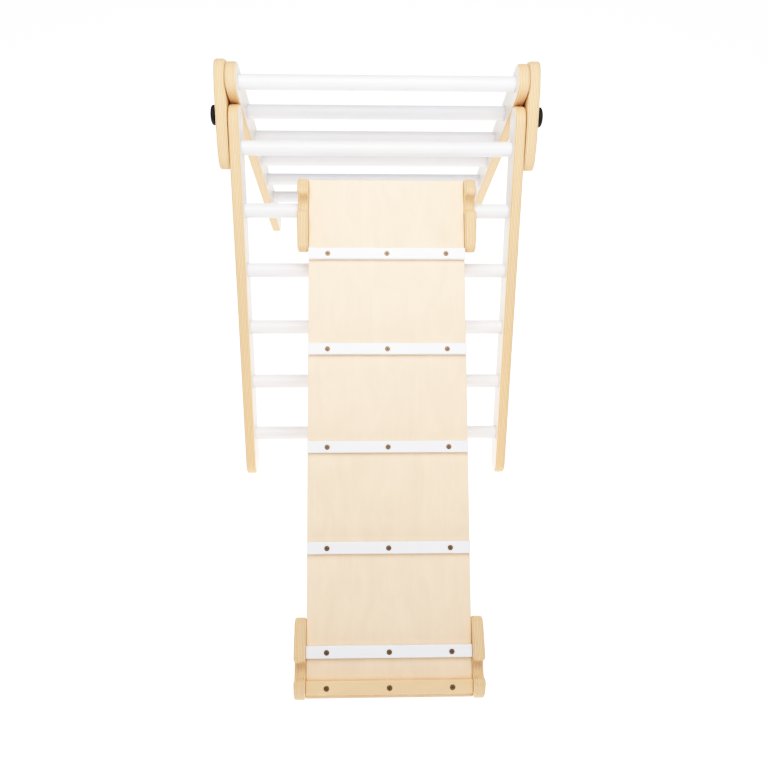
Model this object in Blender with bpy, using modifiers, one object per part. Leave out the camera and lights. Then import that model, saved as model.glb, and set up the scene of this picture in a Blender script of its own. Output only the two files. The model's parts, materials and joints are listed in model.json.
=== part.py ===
"""Foldable climbing triangle with a hook-on toddler ramp.

Two ladders of plywood rails and round rungs meet at the top. The rear ladder carries two link plates,
which turn on the front ladder's first rung, so that it folds against the front ladder. A ramp with
notched hook plates hangs on the front ladder's second rung.

Metres, +Z up, the ramp runs down towards -Y, and X is across. Z = 0 is the floor, and X = Y = 0 is the
middle of the whole object's box.
"""
import math

import bmesh
import bpy
from mathutils import Matrix, Vector

COLLECTION = "climbing_triangle_with_ramp"

# Ladders
LEG_ANGLE = math.radians(58.5)      # both ladders, up from the floor
INNER_HALF = 0.258                  # from the middle plane to a rail's inner face
PLY = 0.021                         # plywood of rails, link plates and hook plates
RAIL_HALF = 0.031                   # half a rail's width, and the radius of its feet
LEG_LENGTH = 0.800                  # from the top rung's axis to the end of the foot
FOOT_FLAT = 8                       # degrees of the foot's arc to each side of the floor that are one flat
RUNG_RADIUS = 0.014
RUNG_STEP = 0.118
RUNGS_BELOW_TOP = 6
RUNG_CHAMFER = 0.0012
SOCKET_DEPTH = 0.012
FIT = 0.0003                        # gap between touching pieces
EDGE_ROUND = 0.0045

# Hinge
FRONT_TOP = 0.0702                  # top rung's axis to the centre of the front rail's round end
REAR_TOP = 0.040                    # top rung's axis to the rear rail's upper end
REAR_TOP_POWER = 2.5                # that end's outline is half a superellipse
LINK_HALF_LENGTH = 0.099
LINK_HALF_WIDTH = 0.034
LINK_POWER = 3.0                    # the plate's outline is a superellipse
LINK_GAP = 0.0010                   # between link plate and rails
KNOB_RADIUS = 0.0185
KNOB_HEIGHT = 0.0125
COLLAR_RADIUS = 0.011
COLLAR_HEIGHT = 0.003
BOLT_RADIUS = 0.004
HEAD_RADIUS = 0.008
HEAD_HEIGHT = 0.0045
HEAD_RECESS = 0.005
BOLT_IN_RUNG = 0.040
BOLT_IN_KNOB = 0.006
INSERT_RADIUS = 0.0065
INSERT_LENGTH = 0.015

# Ramp, in its own frame: u runs down the slope from the rung it hangs on, n stands on the slope
RAMP_SHIFT = 0.0178                 # it hangs a little to the right
BOARD_HALF = 0.150
BOARD_THICK = 0.010
BOARD_MIDDLE = 0.021                # n of the board's middle plane
NOTCH_RADIUS = 0.0150
LIP_RADIUS = 0.009
NOTCH_DISTANCE = 0.8625             # between the notches of the upper and the lower hook plates
TOE_RADIUS = 0.030
HOOK_HALF = 0.0345                  # half the plate's height beside the notch
HEEL_CENTRE = 0.069                 # from the notch
HEEL_RADIUS = 0.020
BATTEN_FIRST = 0.095
BATTEN_STEP = 0.1845
BATTEN_COUNT = 5
BATTEN_WIDTH = 0.022
BATTEN_THICK = 0.009
END_BAR_U = 0.8945
END_BAR_WIDTH = 0.0245
END_BAR_THICK = 0.012
CROSS_ROUND = 0.002
SCREW_X = (-0.113, 0.0, 0.113)
SCREW_HEAD_RADIUS = 0.0048
SCREW_HEAD_HEIGHT = 0.0028
SCREW_RADIUS = 0.0017
SCREW_IN_BOARD = 0.006

# Facets
ARC_STEPS = 12                      # of a half circle in an outline
ROUND_STEPS = 24
BOLT_STEPS = 12
SCREW_STEPS = 10

# Worked out from the above
SINE, COSINE = math.sin(LEG_ANGLE), math.cos(LEG_ANGLE)
FOOT_CENTRE = LEG_LENGTH - RAIL_HALF
APEX_HEIGHT = FOOT_CENTRE * SINE + RAIL_HALF * math.cos(math.radians(FOOT_FLAT))
HANG_HEIGHT = APEX_HEIGHT - 2 * RUNG_STEP * SINE
LIP_OUT = NOTCH_RADIUS + LIP_RADIUS              # the lips' round corners, from the notch
LIP_UP = HOOK_HALF - LIP_RADIUS                  # and from the board's middle plane
LOW_LIP_U = NOTCH_DISTANCE + LIP_OUT
LOW_LIP_N = BOARD_MIDDLE - LIP_UP
# The lower hook plates' flat between lip and toe lies on the floor
RAMP_ANGLE = (math.asin((HANG_HEIGHT - LIP_RADIUS) / math.hypot(LOW_LIP_U, LOW_LIP_N))
              + math.atan2(LOW_LIP_N, LOW_LIP_U))
TOE_OUT = LIP_OUT - (TOE_RADIUS - LIP_RADIUS - LIP_UP * math.cos(RAMP_ANGLE)) / math.sin(RAMP_ANGLE)
TOE_LENGTH = TOE_OUT + TOE_RADIUS
TOE_REACH = ((NOTCH_DISTANCE + TOE_OUT) * math.cos(RAMP_ANGLE) + BOARD_MIDDLE * math.sin(RAMP_ANGLE)
             + TOE_RADIUS)
APEX_Y = (2 * RUNG_STEP * COSINE + TOE_REACH - FOOT_CENTRE * COSINE - RAIL_HALF) / 2
LINK_INNER = INNER_HALF + PLY + LINK_GAP
LINK_OUTER = LINK_INNER + PLY
CLAMP_ALONG = RUNG_STEP / 2         # the knob's axis, half way between the top rung and the first rung

# Frames: a ladder's z runs up along it from the top rung's axis, the ramp's y runs up the slope
APEX = Matrix.Translation((0.0, APEX_Y, APEX_HEIGHT))
FRONT = APEX @ Matrix.Rotation(LEG_ANGLE - math.pi / 2, 4, "X")
REAR = APEX @ Matrix.Rotation(math.pi / 2 - LEG_ANGLE, 4, "X")
FOLD_AXIS = FRONT @ Matrix.Translation((0.0, 0.0, -RUNG_STEP))
RAMP = (Matrix.Translation(FRONT @ Vector((0.0, 0.0, -2 * RUNG_STEP)))
        @ Matrix.Rotation(RAMP_ANGLE, 4, "X") @ Matrix.Translation((RAMP_SHIFT, 0.0, 0.0)))
ACROSS = Matrix(((0, 0, 1, 0), (1, 0, 0, 0), (0, 1, 0, 0), (0, 0, 0, 1)))  # a drawing's x, y to y, z

# Colours: linear RGB, roughness, metallic
MATERIALS = {
    "birch_plywood": ((0.83, 0.66, 0.43), 0.55, 0.0),
    "birch_board": ((0.86, 0.71, 0.49), 0.5, 0.0),
    "white_lacquer": ((0.90, 0.90, 0.91), 0.4, 0.0),
    "black_plastic": ((0.02, 0.02, 0.022), 0.45, 0.0),
    "bright_steel": ((0.60, 0.60, 0.62), 0.3, 1.0),
    "bronzed_steel": ((0.19, 0.13, 0.09), 0.45, 1.0),
    "brass": ((0.62, 0.45, 0.20), 0.35, 1.0),
}


def clear_scene():
    for obj in list(bpy.data.objects):
        bpy.data.objects.remove(obj)


def make_collections():
    parts = bpy.data.collections.new(COLLECTION)
    cutters = bpy.data.collections.new("cutters")
    for collection in (parts, cutters):
        bpy.context.scene.collection.children.link(collection)
    return parts, cutters


def make_material(name):
    colour, roughness, metallic = MATERIALS[name]
    material = bpy.data.materials.new(name)
    material.use_nodes = True
    shader = material.node_tree.nodes["Principled BSDF"]
    shader.inputs["Base Color"].default_value = (*colour, 1.0)
    shader.inputs["Roughness"].default_value = roughness
    shader.inputs["Metallic"].default_value = metallic
    return material


def add_empty(name, matrix):
    empty = bpy.data.objects.new(name, None)
    empty.empty_display_size = 0.05
    PARTS.objects.link(empty)
    empty.matrix_world = matrix
    return empty


def add_part(name, mesh, material, matrix, pivot, pivot_matrix):
    """A named sub-part at this place in the world, held by its body's empty."""
    part = bpy.data.objects.new(name, mesh)
    PARTS.objects.link(part)
    if not mesh.materials:
        mesh.materials.append(MATERIAL[material])
    part.parent = pivot
    part.matrix_local = pivot_matrix.inverted() @ matrix
    return part


def smooth(mesh):
    mesh.shade_smooth()
    mesh.set_sharp_from_angle(angle=math.radians(35))


def arc(centre, radius, start, end, steps):
    """Points of an arc, both ends in it, with its angles in degrees."""
    angles = [math.radians(start + (end - start) * i / steps) for i in range(steps + 1)]
    return [(centre[0] + radius * math.cos(a), centre[1] + radius * math.sin(a)) for a in angles]


def superellipse(half_y, half_z, power, steps):
    points = []
    for i in range(steps):
        angle = 2 * math.pi * i / steps
        c, s = math.cos(angle), math.sin(angle)
        y = half_y * math.copysign(abs(c) ** (2 / power), c)
        z = half_z * math.copysign(abs(s) ** (2 / power), s)
        points.append((y, z))
    return points


def plate_mesh(name, outline, thickness):
    """A flat outline of a frame's y, z, as a plate whose middle plane is x = 0."""
    curve = bpy.data.curves.new(name, "CURVE")
    curve.dimensions = "2D"
    curve.fill_mode = "BOTH"
    curve.extrude = thickness / 2
    spline = curve.splines.new("POLY")
    spline.points.add(len(outline) - 1)
    for point, (y, z) in zip(spline.points, outline):
        point.co = (y, z, 0.0, 1.0)
    spline.use_cyclic_u = True
    drawing = bpy.data.objects.new(name + "_drawing", curve)
    PARTS.objects.link(drawing)
    evaluated = drawing.evaluated_get(bpy.context.evaluated_depsgraph_get())
    mesh = bpy.data.meshes.new_from_object(evaluated)
    bpy.data.objects.remove(drawing)
    bpy.data.curves.remove(curve)
    work = bmesh.new()
    work.from_mesh(mesh)
    bmesh.ops.remove_doubles(work, verts=work.verts, dist=1e-6)
    bmesh.ops.dissolve_limit(work, angle_limit=math.radians(0.5), verts=work.verts, edges=work.edges)
    bmesh.ops.recalc_face_normals(work, faces=work.faces)
    work.to_mesh(mesh)
    work.free()
    mesh.name = name
    mesh.transform(ACROSS)
    return mesh


def round_bar_mesh(name, radius, length, steps):
    """A round bar along x, centred on the origin."""
    work = bmesh.new()
    bmesh.ops.create_cone(work, cap_ends=True, segments=steps, radius1=radius, radius2=radius, depth=length)
    bmesh.ops.rotate(work, matrix=Matrix.Rotation(math.pi / 2, 3, "Y"), verts=work.verts)
    mesh = bpy.data.meshes.new(name)
    work.to_mesh(mesh)
    work.free()
    return mesh


def box_mesh(name, size):
    work = bmesh.new()
    bmesh.ops.create_cube(work, size=1.0)
    bmesh.ops.scale(work, vec=size, verts=work.verts)
    mesh = bpy.data.meshes.new(name)
    work.to_mesh(mesh)
    work.free()
    return mesh


def turned_mesh(name, profile, steps, closed=False):
    """Turns a profile of (radius, height) pairs, listed from the top down, about z."""
    count = len(profile)
    edges = [(i, i + 1) for i in range(count - 1)]
    if closed:
        edges.append((count - 1, 0))
    mesh = bpy.data.meshes.new(name)
    mesh.from_pydata([(r, 0.0, z) for r, z in profile], edges, [])
    holder = bpy.data.objects.new(name + "_profile", mesh)
    PARTS.objects.link(holder)
    screw = holder.modifiers.new("Turn", "SCREW")
    screw.axis = "Z"
    screw.steps = steps
    screw.render_steps = steps
    screw.use_merge_vertices = True
    screw.merge_threshold = 0.00001
    evaluated = holder.evaluated_get(bpy.context.evaluated_depsgraph_get())
    turned = bpy.data.meshes.new_from_object(evaluated)
    bpy.data.objects.remove(holder)
    bpy.data.meshes.remove(mesh)
    work = bmesh.new()
    work.from_mesh(turned)
    bmesh.ops.recalc_face_normals(work, faces=work.faces)
    work.to_mesh(turned)
    work.free()
    turned.name = name
    smooth(turned)
    return turned


def round_edges(part, width, segments=1):
    bevel = part.modifiers.new("Rounded edges", "BEVEL")
    bevel.width = width
    bevel.segments = segments
    bevel.limit_method = "ANGLE"
    bevel.angle_limit = math.radians(50)


def cut(part, name, tools):
    """Cuts bores out of a part. A tool is a mesh and its matrix in the part's own frame."""
    work = bmesh.new()
    for mesh, matrix in tools:
        piece = mesh.copy()
        piece.transform(matrix)
        work.from_mesh(piece)
        bpy.data.meshes.remove(piece)
    mesh = bpy.data.meshes.new(name)
    work.to_mesh(mesh)
    work.free()
    cutter = bpy.data.objects.new(name, mesh)
    CUTTERS.objects.link(cutter)
    cutter.parent = part
    cutter.hide_render = True
    cutter.display_type = "WIRE"
    boolean = part.modifiers.new("Bores", "BOOLEAN")
    boolean.operation = "DIFFERENCE"
    boolean.object = cutter
    boolean.use_self = True


def drill(radius, x_from, x_to, y=0.0, z=0.0, steps=BOLT_STEPS):
    """A cutter for a bore along x between two values of x."""
    mesh = round_bar_mesh("drill", radius, abs(x_to - x_from), steps)
    return mesh, Matrix.Translation(((x_from + x_to) / 2, y, z))


# ---------------------------------------------------------------- ladders

def rail_outline(top, foot_facing):
    """The upper end's points, then the foot's half circle with a flat that faces the floor."""
    foot = (0.0, -FOOT_CENTRE)
    before, after = foot_facing - FOOT_FLAT, foot_facing + FOOT_FLAT
    points = top + arc(foot, RAIL_HALF, 180, before, round((before - 180) / 15))
    return points + arc(foot, RAIL_HALF, after, 360, round((360 - after) / 15))


def add_rail(name, side, frame, top, foot_facing, rungs, bolt_at, pivot, pivot_matrix):
    """A rail with blind sockets for its rungs. The rung at bolt_at is held by a bolt through the rail."""
    mesh = plate_mesh(name, rail_outline(top, foot_facing), PLY)
    place = frame @ Matrix.Translation((side * (INNER_HALF + PLY / 2), 0.0, 0.0))
    rail = add_part(name, mesh, "birch_plywood", place, pivot, pivot_matrix)
    round_edges(rail, EDGE_ROUND)
    inner = -side * PLY / 2
    floor = inner + side * (SOCKET_DEPTH + FIT)
    radius = RUNG_RADIUS + FIT
    tools = [drill(radius, inner - side * 0.001, floor, z=-along, steps=ROUND_STEPS) for along in rungs]
    tools.append(drill(BOLT_RADIUS + FIT, floor - side * 0.001, side * PLY, z=-bolt_at))
    cut(rail, name + "_bores", tools)


def add_rung(name, along, frame, bolted, pivot, pivot_matrix):
    half = INNER_HALF + SOCKET_DEPTH
    mesh = round_bar_mesh(name, RUNG_RADIUS, 2 * half, ROUND_STEPS)
    smooth(mesh)
    place = frame @ Matrix.Translation((0.0, 0.0, -along))
    rung = add_part(name, mesh, "white_lacquer", place, pivot, pivot_matrix)
    round_edges(rung, RUNG_CHAMFER, segments=1)
    if bolted:
        depth = half - BOLT_IN_RUNG - FIT
        tools = [drill(BOLT_RADIUS + FIT, side * depth, side * (half + 0.001)) for side in (-1, 1)]
        cut(rung, name + "_bores", tools)


def add_ladders(front, rear):
    below = [RUNG_STEP * i for i in range(1, RUNGS_BELOW_TOP + 1)]
    lean = math.degrees(LEG_ANGLE)
    front_end = arc((0.0, -FRONT_TOP), RAIL_HALF, 0, 180, ARC_STEPS)
    rear_end = superellipse(RAIL_HALF, REAR_TOP, REAR_TOP_POWER, 2 * ARC_STEPS)[:ARC_STEPS + 1]
    for side, word in ((-1, "left"), (1, "right")):
        add_rail(f"front_rail_{word}", side, FRONT, front_end, 360 - lean, below, RUNG_STEP, front, FRONT)
        add_rail(f"rear_rail_{word}", side, REAR, rear_end, 180 + lean, [0.0] + below, 0.0, rear, FOLD_AXIS)
    for i, along in enumerate(below, 1):
        add_rung(f"front_rung_{i}", along, FRONT, i == 1, front, FRONT)
        add_rung(f"rear_rung_{i}", along, REAR, False, rear, FOLD_AXIS)
    add_rung("top_rung", 0.0, REAR, True, rear, FOLD_AXIS)


# ---------------------------------------------------------------- hinge

def turned_place(side, x, along):
    """A turned piece's frame: its axis points outwards along x from this x, on the front ladder's line."""
    lean = Matrix.Rotation(side * math.pi / 2, 4, "Y")
    return FRONT @ Matrix.Translation((side * x, 0.0, -along)) @ lean


def add_link_plate(word, side, rear):
    name = f"link_plate_{word}"
    outline = superellipse(LINK_HALF_WIDTH, LINK_HALF_LENGTH, LINK_POWER, 4 * ARC_STEPS)
    mesh = plate_mesh(name, outline, PLY)
    place = FRONT @ Matrix.Translation((side * (LINK_INNER + PLY / 2), 0.0, -CLAMP_ALONG))
    plate = add_part(name, mesh, "birch_plywood", place, rear, FOLD_AXIS)
    round_edges(plate, EDGE_ROUND)
    outer = side * PLY / 2
    tools = []
    for z in (-CLAMP_ALONG, CLAMP_ALONG):
        tools.append(drill(HEAD_RADIUS + FIT, outer + side * 0.001, outer - side * HEAD_RECESS, z=z))
        tools.append(drill(BOLT_RADIUS + FIT, outer, -outer - side * 0.001, z=z))
    tools.append(drill(BOLT_RADIUS + FIT, outer + side * 0.001, -outer, z=0.0))
    tools.append(drill(INSERT_RADIUS + FIT, outer - side * (PLY - INSERT_LENGTH - FIT), -outer - side * 0.001))
    cut(plate, name + "_bores", tools)


def add_rung_bolt(name, side, along, rear):
    """A cap bolt through the link plate and the rail into a rung's end. It turns with the rear ladder."""
    head_top = LINK_OUTER - HEAD_RECESS + HEAD_HEIGHT
    tip = INNER_HALF + SOCKET_DEPTH - BOLT_IN_RUNG
    profile = [(0.0, head_top), (HEAD_RADIUS - 0.0008, head_top), (HEAD_RADIUS, head_top - 0.0008),
               (HEAD_RADIUS, head_top - HEAD_HEIGHT + FIT), (BOLT_RADIUS, head_top - HEAD_HEIGHT + FIT),
               (BOLT_RADIUS, tip + 0.001), (BOLT_RADIUS - 0.001, tip), (0.0, tip)]
    mesh = turned_mesh(name, profile, BOLT_STEPS)
    add_part(name, mesh, "bright_steel", turned_place(side, 0.0, along), rear, FOLD_AXIS)


def add_clamp(word, side, rear):
    """The knob, the bolt fixed in it, and the insert in the link plate that the bolt turns in."""
    knob_foot = LINK_OUTER + FIT
    knob_top = knob_foot + KNOB_HEIGHT
    rim = knob_foot + COLLAR_HEIGHT
    socket = rim + BOLT_IN_KNOB
    profile = [(0.0, knob_top)]
    dome = 8
    for i in range(1, dome + 1):
        angle = math.radians(90 * i / dome)
        profile.append((KNOB_RADIUS * math.sin(angle) ** 0.8,
                        rim + 0.004 + (KNOB_HEIGHT - COLLAR_HEIGHT - 0.004) * math.cos(angle) ** 0.9))
    profile += [(KNOB_RADIUS, rim + 0.0015), (KNOB_RADIUS - 0.0015, rim), (COLLAR_RADIUS, rim),
                (COLLAR_RADIUS, knob_foot), (BOLT_RADIUS + FIT, knob_foot), (BOLT_RADIUS + FIT, socket),
                (0.0, socket)]
    knob = turned_mesh(f"clamp_knob_{word}", profile, ROUND_STEPS + 8)
    place = turned_place(side, 0.0, CLAMP_ALONG)
    pivot = add_empty(f"clamp_axis_{word}", place)
    add_part(f"clamp_knob_{word}", knob, "black_plastic", place, pivot, place)

    tip = INNER_HALF + PLY + FIT
    end = socket - FIT
    profile = [(0.0, end), (BOLT_RADIUS, end), (BOLT_RADIUS, tip + 0.001), (BOLT_RADIUS - 0.001, tip), (0.0, tip)]
    bolt = turned_mesh(f"clamp_bolt_{word}", profile, BOLT_STEPS)
    add_part(f"clamp_bolt_{word}", bolt, "bright_steel", place, pivot, place)

    low, high = LINK_INNER + FIT, LINK_INNER + INSERT_LENGTH
    inner, outer = BOLT_RADIUS + FIT, INSERT_RADIUS
    profile = [(inner, high), (outer, high), (outer, low), (inner, low)]
    insert = turned_mesh(f"threaded_insert_{word}", profile, BOLT_STEPS, closed=True)
    add_part(f"threaded_insert_{word}", insert, "brass", place, rear, FOLD_AXIS)


def add_hinge(rear):
    for side, word in ((-1, "left"), (1, "right")):
        add_link_plate(word, side, rear)
        add_rung_bolt(f"pivot_bolt_{word}", side, RUNG_STEP, rear)
        add_rung_bolt(f"link_bolt_{word}", side, 0.0, rear)
        add_clamp(word, side, rear)


# ---------------------------------------------------------------- ramp

def tangent_angle(first, first_radius, second, second_radius):
    """The direction, from either centre, in which one line touches both circles."""
    along, up = second[0] - first[0], second[1] - first[1]
    turn = math.acos((first_radius - second_radius) / math.hypot(along, up))
    return math.degrees(math.atan2(up, along) + turn)


def hook_half_outline():
    """The upper half of a hook plate from its toe to its heel, as (distance from the notch, height)."""
    toe, heel = (-TOE_OUT, 0.0), (HEEL_CENTRE, 0.0)
    outer_lip, inner_lip = (-LIP_OUT, LIP_UP), (LIP_OUT, LIP_UP)
    front = tangent_angle(toe, TOE_RADIUS, outer_lip, LIP_RADIUS)
    back = tangent_angle(inner_lip, LIP_RADIUS, heel, HEEL_RADIUS)
    seat = BOARD_MIDDLE + NOTCH_RADIUS - RUNG_RADIUS - FIT
    points = arc(toe, TOE_RADIUS, 180, front, 4)
    points += arc(outer_lip, LIP_RADIUS, front, 0, 5)
    points += arc((0.0, seat), NOTCH_RADIUS, 180, 360, ARC_STEPS)
    points += arc(inner_lip, LIP_RADIUS, 180, back, 5)
    points += arc(heel, HEEL_RADIUS, back, 0, 5)
    return points


def add_hook_plate(name, side, notch_u, facing, ramp):
    """Facing is 1 where the toe points up the slope and -1 where it points down."""
    upper = hook_half_outline()
    lower = [(d, -h) for d, h in reversed(upper[:-1])]
    outline = [(-facing * d, h) for d, h in upper + lower]
    mesh = plate_mesh(name, outline, PLY)
    x = side * (BOARD_HALF + FIT + PLY / 2)
    place = RAMP @ Matrix.Translation((x, -notch_u, BOARD_MIDDLE))
    plate = add_part(name, mesh, "birch_plywood", place, ramp, RAMP_PIVOT)
    round_edges(plate, EDGE_ROUND)


def add_cross_bar(name, u, width, thick, material, ramp):
    """A batten or bar screwed across the board's upper face, with countersunk holes."""
    mesh = box_mesh(name, (2 * BOARD_HALF, width, thick))
    n = BOARD_MIDDLE + BOARD_THICK / 2 + FIT + thick / 2
    place = RAMP @ Matrix.Translation((0.0, -u, n))
    bar = add_part(name, mesh, material, place, ramp, RAMP_PIVOT)
    round_edges(bar, CROSS_ROUND)
    hole = turned_mesh("countersink", screw_profile(thick, FIT, through=True), SCREW_STEPS)
    cut(bar, name + "_holes", [(hole, Matrix.Translation((x, 0.0, thick / 2))) for x in SCREW_X])


def screw_profile(thick, grow, through=False):
    """A countersunk screw with its head's top at z = 0, grown all round for the hole it sits in."""
    top = 0.001 if through else -0.0002
    bottom = -thick - 0.001 if through else -thick - SCREW_IN_BOARD
    head, shank = SCREW_HEAD_RADIUS + grow, SCREW_RADIUS + grow
    profile = [(0.0, top), (head, top), (head, -0.0005), (shank, -SCREW_HEAD_HEIGHT)]
    if through:
        return profile + [(shank, bottom), (0.0, bottom)]
    return profile + [(shank, bottom + 0.002), (0.0, bottom)]


def add_board(bars, ramp):
    """The board ends just short of the hook plates' toes and has a blind hole under each screw."""
    top_u, low_u = 0.002 - TOE_LENGTH, NOTCH_DISTANCE + TOE_LENGTH - 0.002
    mesh = box_mesh("ramp_board", (2 * BOARD_HALF, low_u - top_u, BOARD_THICK))
    middle_u = (top_u + low_u) / 2
    place = RAMP @ Matrix.Translation((0.0, -middle_u, BOARD_MIDDLE))
    board = add_part("ramp_board", mesh, "birch_board", place, ramp, RAMP_PIVOT)
    round_edges(board, CROSS_ROUND)
    depth = SCREW_IN_BOARD + 2 * FIT + 0.001
    hole = turned_mesh("pilot", [(0.0, 0.001), (SCREW_RADIUS + FIT, 0.001), (SCREW_RADIUS + FIT, 0.001 - depth),
                                 (0.0, 0.001 - depth)], SCREW_STEPS)
    tools = [(hole, Matrix.Translation((x, middle_u - u, BOARD_THICK / 2))) for _, u, _ in bars for x in SCREW_X]
    cut(board, "ramp_board_holes", tools)


def add_screws(bars, ramp):
    for name, u, thick in bars:
        mesh = turned_mesh(name + "_screw", screw_profile(thick, 0.0), SCREW_STEPS)
        n = BOARD_MIDDLE + BOARD_THICK / 2 + FIT + thick
        for x, word in zip(SCREW_X, ("left", "middle", "right")):
            place = RAMP @ Matrix.Translation((x, -u, n))
            add_part(f"{name}_screw_{word}", mesh, "bronzed_steel", place, ramp, RAMP_PIVOT)


def add_ramp(ramp):
    for side, word in ((-1, "left"), (1, "right")):
        add_hook_plate(f"upper_hook_{word}", side, 0.0, 1, ramp)
        add_hook_plate(f"lower_hook_{word}", side, NOTCH_DISTANCE, -1, ramp)
    bars = [(f"batten_{i + 1}", BATTEN_FIRST + BATTEN_STEP * i, BATTEN_THICK) for i in range(BATTEN_COUNT)]
    for name, u, thick in bars:
        add_cross_bar(name, u, BATTEN_WIDTH, thick, "white_lacquer", ramp)
    add_cross_bar("end_bar", END_BAR_U, END_BAR_WIDTH, END_BAR_THICK, "birch_board", ramp)
    bars.append(("end_bar", END_BAR_U, END_BAR_THICK))
    add_board(bars, ramp)
    add_screws(bars, ramp)


clear_scene()
PARTS, CUTTERS = make_collections()
MATERIAL = {name: make_material(name) for name in MATERIALS}
RAMP_PIVOT = RAMP @ Matrix.Translation((-RAMP_SHIFT, 0.0, 0.0))
front_frame = add_empty("front_ladder_frame", FRONT)
rear_frame = add_empty("rear_ladder_fold_axis", FOLD_AXIS)
ramp_frame = add_empty("ramp_lift_axis", RAMP_PIVOT)
add_ladders(front_frame, rear_frame)
add_hinge(rear_frame)
add_ramp(ramp_frame)
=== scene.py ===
"""Looks of the foldable climbing triangle with its hook-on ramp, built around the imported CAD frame."""
import json
import math

import bmesh
import bpy
from mathutils import Matrix, Vector


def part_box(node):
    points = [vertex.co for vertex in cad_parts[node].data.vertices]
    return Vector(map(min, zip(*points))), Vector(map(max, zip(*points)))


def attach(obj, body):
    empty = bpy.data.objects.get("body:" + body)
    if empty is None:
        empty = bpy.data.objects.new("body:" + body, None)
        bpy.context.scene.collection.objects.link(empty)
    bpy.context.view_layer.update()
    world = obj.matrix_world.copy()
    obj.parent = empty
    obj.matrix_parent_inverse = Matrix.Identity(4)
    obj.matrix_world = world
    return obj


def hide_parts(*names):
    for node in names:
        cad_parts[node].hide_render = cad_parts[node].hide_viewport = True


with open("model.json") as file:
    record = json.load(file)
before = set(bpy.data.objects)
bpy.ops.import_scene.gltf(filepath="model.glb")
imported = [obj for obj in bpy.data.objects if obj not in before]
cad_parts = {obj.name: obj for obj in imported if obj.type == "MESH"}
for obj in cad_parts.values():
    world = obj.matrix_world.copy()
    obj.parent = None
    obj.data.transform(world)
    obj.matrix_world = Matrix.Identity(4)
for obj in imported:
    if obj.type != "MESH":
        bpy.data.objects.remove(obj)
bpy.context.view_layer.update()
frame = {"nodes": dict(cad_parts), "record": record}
NODES = frame["nodes"]
BODY_OF = {node: body for body, nodes in frame["record"]["behaviour"]["bodies"].items() for node in nodes}

# ---------------------------------------------------------------- sizes, in metres

PLY = 0.021                  # plywood of rails, link plates and hook plates
VENEER = 0.0014              # one layer of that plywood
RAIL_HALF = 0.031
LEG_LENGTH = 0.800
FOOT_FLAT = 8                # degrees of the foot's arc to each side of the floor
RUNG_RADIUS = 0.014
SOCKET_DEPTH = 0.012
FIT = 0.0003
EDGE_ROUND = 0.0045
FRONT_TOP = 0.0702
REAR_TOP = 0.040
REAR_TOP_POWER = 2.5
LINK_HALF_LENGTH = 0.099
LINK_HALF_WIDTH = 0.034
LINK_POWER = 3.0
KNOB_RADIUS = 0.0185
KNOB_HEIGHT = 0.0125
COLLAR_RADIUS = 0.011
COLLAR_HEIGHT = 0.003
BOLT_RADIUS = 0.004
HEAD_RADIUS = 0.008
HEAD_HEIGHT = 0.0045
HEAD_RECESS = 0.005
INSERT_RADIUS = 0.0065
INSERT_LENGTH = 0.015
BOLT_IN_RUNG = 0.040
BOLT_IN_KNOB = 0.006
BOARD_HALF = 0.150
BOARD_THICK = 0.010
BOARD_MIDDLE = 0.021
NOTCH_RADIUS = 0.0150
LIP_RADIUS = 0.009
NOTCH_DISTANCE = 0.8625
TOE_RADIUS = 0.030
HOOK_HALF = 0.0345
HEEL_CENTRE = 0.069
HEEL_RADIUS = 0.020
BATTEN_WIDTH = 0.022
BATTEN_THICK = 0.009
END_BAR_WIDTH = 0.0245
END_BAR_THICK = 0.012
SCREW_HEAD_RADIUS = 0.0048
SCREW_HEAD_HEIGHT = 0.0028
SCREW_RADIUS = 0.0017
SCREW_IN_BOARD = 0.006
SOCKET_EASE = 0.0006         # a rung socket's mouth, broken by this much
RUNG_EASE = 0.0012
BOLT_TIP_EASE = 0.001
BOLT_PITCH = 0.00125
SCREW_PITCH = 0.0011
HEXAGON_RADIUS = 0.0029      # the socket in a bolt's head, to its corners
HEXAGON_DEPTH = 0.0026
KNOB_WALL = 0.004            # the knob's straight side, under its dome
RIB_COUNT = 40
RIB_DEPTH = 0.00042
GROOVE_RADIUS = 0.0092       # a fine groove round the knob's dome
GROOVE_WIDTH = 0.00055
GROOVE_DEPTH = 0.00035
INSERT_RIDGES = 8
BOARD_SHORT = 0.002          # how much the board stops short of a hook plate's toe
BOARD_EASE = 0.0016
BATTEN_CORNERS = (0.0018, 0.0018, 0.0012, 0.0012)
END_BAR_CORNERS = (0.0015, 0.0022, 0.0012, 0.0012)
BOARD_VENEER = 0.00111
COAT_DEPTH = 0.00030         # how deep a coat hides the wood of a face
OVERCUT = 0.001              # how far a cutter runs past a surface


# ---------------------------------------------------------------- frames, from the CAD nodes

def centre_of(node):
    low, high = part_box(node)
    return (low + high) / 2


def make_frame(origin, up):
    """X stays across, and the frame's z runs along up, which has no x."""
    z = up.normalized()
    y = z.cross(Vector((1.0, 0.0, 0.0)))
    return Matrix(((1.0, 0.0, 0.0, origin.x),
                   (0.0, y.y, z.y, origin.y),
                   (0.0, y.z, z.z, origin.z),
                   (0.0, 0.0, 0.0, 1.0)))


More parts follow.
